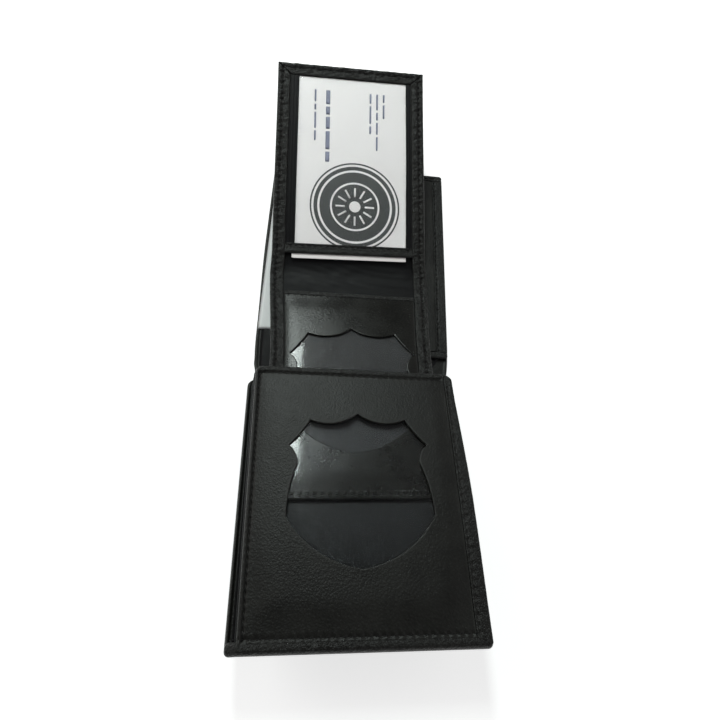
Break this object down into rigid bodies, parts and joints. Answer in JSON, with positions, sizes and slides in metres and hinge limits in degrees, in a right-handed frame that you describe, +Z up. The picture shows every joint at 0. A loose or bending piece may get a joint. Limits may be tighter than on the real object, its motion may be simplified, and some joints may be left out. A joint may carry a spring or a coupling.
{
  "type": "badge wallet",
  "caption": "Open black leather bifold wallet with a shield-window badge pocket, a pull-out insert that has its own shield window, and a folding card flap.",
  "frame": {"origin": "centre of the rear leaf's underside, where the wallet lies on a table", "axes": "+X across the rear leaf, +Y from the spine to the rear leaf's free end, +Z up from the table"},
  "size_m": [0.0943, 0.2568, 0.0413],
  "materials": {
    "black_leather": "fine grain, satin",
    "nylon_lining": "fine plain weave",
    "clear_film": "clear, glossy",
    "thread": "twisted thread",
    "card_stock": "smooth printed card",
    "paper": "plain paper"
  },
  "bodies": {
    "rear_leaf": {"rear_cover": "black_leather", "rear_cover_lining": "nylon_lining", "rear_gusset": "nylon_lining", "rear_divider": "nylon_lining", "rear_panel": "black_leather", "rear_card_pocket": "black_leather", "rear_border_right": "black_leather", "rear_border_end": "black_leather", "rear_border_spine": "black_leather", "rear_stitches": "thread", "spine_strip": "black_leather", "spine_lining": "nylon_lining"},
    "front_leaf": {"front_cover": "black_leather", "front_cover_lining": "nylon_lining", "front_gusset": "nylon_lining", "front_divider": "nylon_lining", "pocket_back": "black_leather", "pocket_edge_left": "black_leather", "pocket_edge_right": "black_leather", "pocket_edge_end": "black_leather", "badge_window": "clear_film", "badge_panel": "black_leather", "badge_panel_hem": "black_leather", "front_border": "black_leather", "front_stitches": "thread", "mouth_stitches": "thread"},
    "badge_insert": {"insert_back": "black_leather", "insert_lining": "nylon_lining", "insert_border_left": "black_leather", "insert_border_right": "black_leather", "insert_end_seam": "black_leather", "insert_window": "clear_film", "insert_badge_panel": "black_leather", "insert_panel_hem": "black_leather", "insert_stitches": "thread", "fold_leather": "black_leather", "fold_lining": "nylon_lining", "fold_borders": "black_leather"},
    "card_flap": {"flap_back": "black_leather", "flap_lining": "nylon_lining", "flap_border_left": "black_leather", "flap_border_right": "black_leather", "flap_border_top": "black_leather", "flap_window": "clear_film", "card_strap": "black_leather", "flap_stitches": "thread"},
    "id_card": {"id_card": "card_stock"},
    "paper_slip": {"paper_slip": "paper"}
  },
  "joints": [
    {"name": "wallet_fold", "type": "hinge", "parent": "rear_leaf", "child": "front_leaf", "pos_m": [0, -0.0605, 0.0006], "axis": [0.9982, 0.0593, 0], "range_deg": [0, 150], "deforming": ["spine_strip", "spine_lining"]},
    {"name": "insert_slide", "type": "slide", "parent": "front_leaf", "child": "badge_insert", "axis": [-0.0588, 0.9897, -0.1305], "range_m": [-0.0428, 0]},
    {"name": "flap_fold", "type": "hinge", "parent": "badge_insert", "child": "card_flap", "pos_m": [-0.00287, -0.01306, 0.00657], "axis": [0.9982, 0.0593, 0], "range_deg": [-15, 148], "deforming": ["fold_leather", "fold_lining", "fold_borders"]},
    {"name": "card_slide", "type": "slide", "parent": "card_flap", "child": "id_card", "axis": [0.0556, -0.935, -0.3502], "range_m": [0, 0.008]},
    {"name": "slip_slide", "type": "slide", "parent": "rear_leaf", "child": "paper_slip", "axis": [-1, 0, 0], "range_m": [0, 0.06]}
  ]
}
